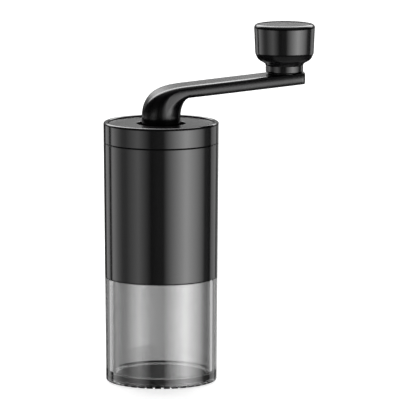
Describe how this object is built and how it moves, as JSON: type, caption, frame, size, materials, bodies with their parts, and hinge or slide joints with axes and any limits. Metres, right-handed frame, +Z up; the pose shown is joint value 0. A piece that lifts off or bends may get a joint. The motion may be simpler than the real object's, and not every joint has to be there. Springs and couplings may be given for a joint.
{
  "type": "hand crank coffee grinder",
  "caption": "Slim cylindrical hand coffee grinder: black housing and lid, clear push-fit cup below, lift-off crank arm with a turning knob, conical burrs inside.",
  "frame": {"origin": "middle of the base pad's underside, on the surface the grinder stands on", "axes": "+Z up along the grinder's axis, +X along the crank arm towards the knob at rest, +Y completes a right-handed frame"},
  "size_m": [0.1069, 0.057, 0.1757],
  "materials": {
    "satin_black": "satin moulded black",
    "disc_black": "fine matt black",
    "crank_black": "semi-gloss black coating",
    "knob_black": "satin moulded black",
    "cap_black": "fine matt black",
    "washer_black": "black",
    "smoke_clear": "clear, lightly smoke tinted, polished",
    "black_rubber": "matt",
    "grey_silicone": "silicone",
    "inner_black": "moulded, fine grain",
    "dial_black": "moulded",
    "bearing_plastic": "acetal",
    "white_ceramic": "unglazed fired ceramic",
    "steel": "stainless",
    "brass": "machined"
  },
  "bodies": {
    "base": {"container": "smoke_clear", "base_pad": "black_rubber", "container_seal": "grey_silicone"},
    "housing": {"housing_shell": "satin_black", "hopper": "inner_black", "outer_burr": "white_ceramic", "burr_holder": "inner_black", "holder_screws": "steel", "upper_bracket": "inner_black", "upper_bush": "bearing_plastic", "lower_bracket": "inner_black", "lower_bush": "bearing_plastic"},
    "shaft": {"drive_shaft": "steel", "spring_washer": "steel", "burr_spring": "steel"},
    "burr_set": {"inner_burr": "white_ceramic", "burr_carrier": "inner_black", "click_washer": "steel"},
    "dial": {"adjuster_dial": "dial_black", "dial_nut": "brass"},
    "lid": {"lid_ring": "satin_black", "lid_disc": "disc_black", "lid_seal": "grey_silicone"},
    "crank": {"crank_arm": "crank_black", "hub_insert": "steel", "knob_axle": "steel", "knob_washer": "washer_black", "axle_screw": "steel"},
    "knob": {"knob_body": "knob_black", "knob_bush": "bearing_plastic", "knob_cap": "cap_black"}
  },
  "joints": [
    {"name": "housing_lift", "type": "slide", "parent": "base", "child": "housing", "axis": [0, 0, 1], "range_m": [0, 0.06]},
    {"name": "shaft_spin", "type": "hinge", "parent": "housing", "child": "shaft", "pos_m": [0, 0, 0.1], "axis": [0, 0, 1], "continuous": true},
    {"name": "burr_travel", "type": "slide", "parent": "shaft", "child": "burr_set", "axis": [0, 0, -1], "range_m": [0, 0.00125], "deforming": ["burr_spring"]},
    {"name": "dial_turn", "type": "hinge", "parent": "burr_set", "child": "dial", "pos_m": [0, 0, 0.0573], "axis": [0, 0, -1], "range_deg": [0, 540]},
    {"name": "crank_lift", "type": "slide", "parent": "shaft", "child": "crank", "axis": [0, 0, 1], "range_m": [0, 0.06]},
    {"name": "knob_spin", "type": "hinge", "parent": "crank", "child": "knob", "pos_m": [0.0632, 0, 0.16], "axis": [0, 0, 1], "continuous": true},
    {"name": "lid_lift", "type": "slide", "parent": "housing", "child": "lid", "axis": [0, 0, 1], "range_m": [0, 0.03]}
  ],
  "couplings": [
    {"joint": "burr_travel", "follows": "dial_turn", "m_per_rad": 0.00012732},
    {"joint": "lid_lift", "follows": "crank_lift", "ratio": 0.5}
  ]
}
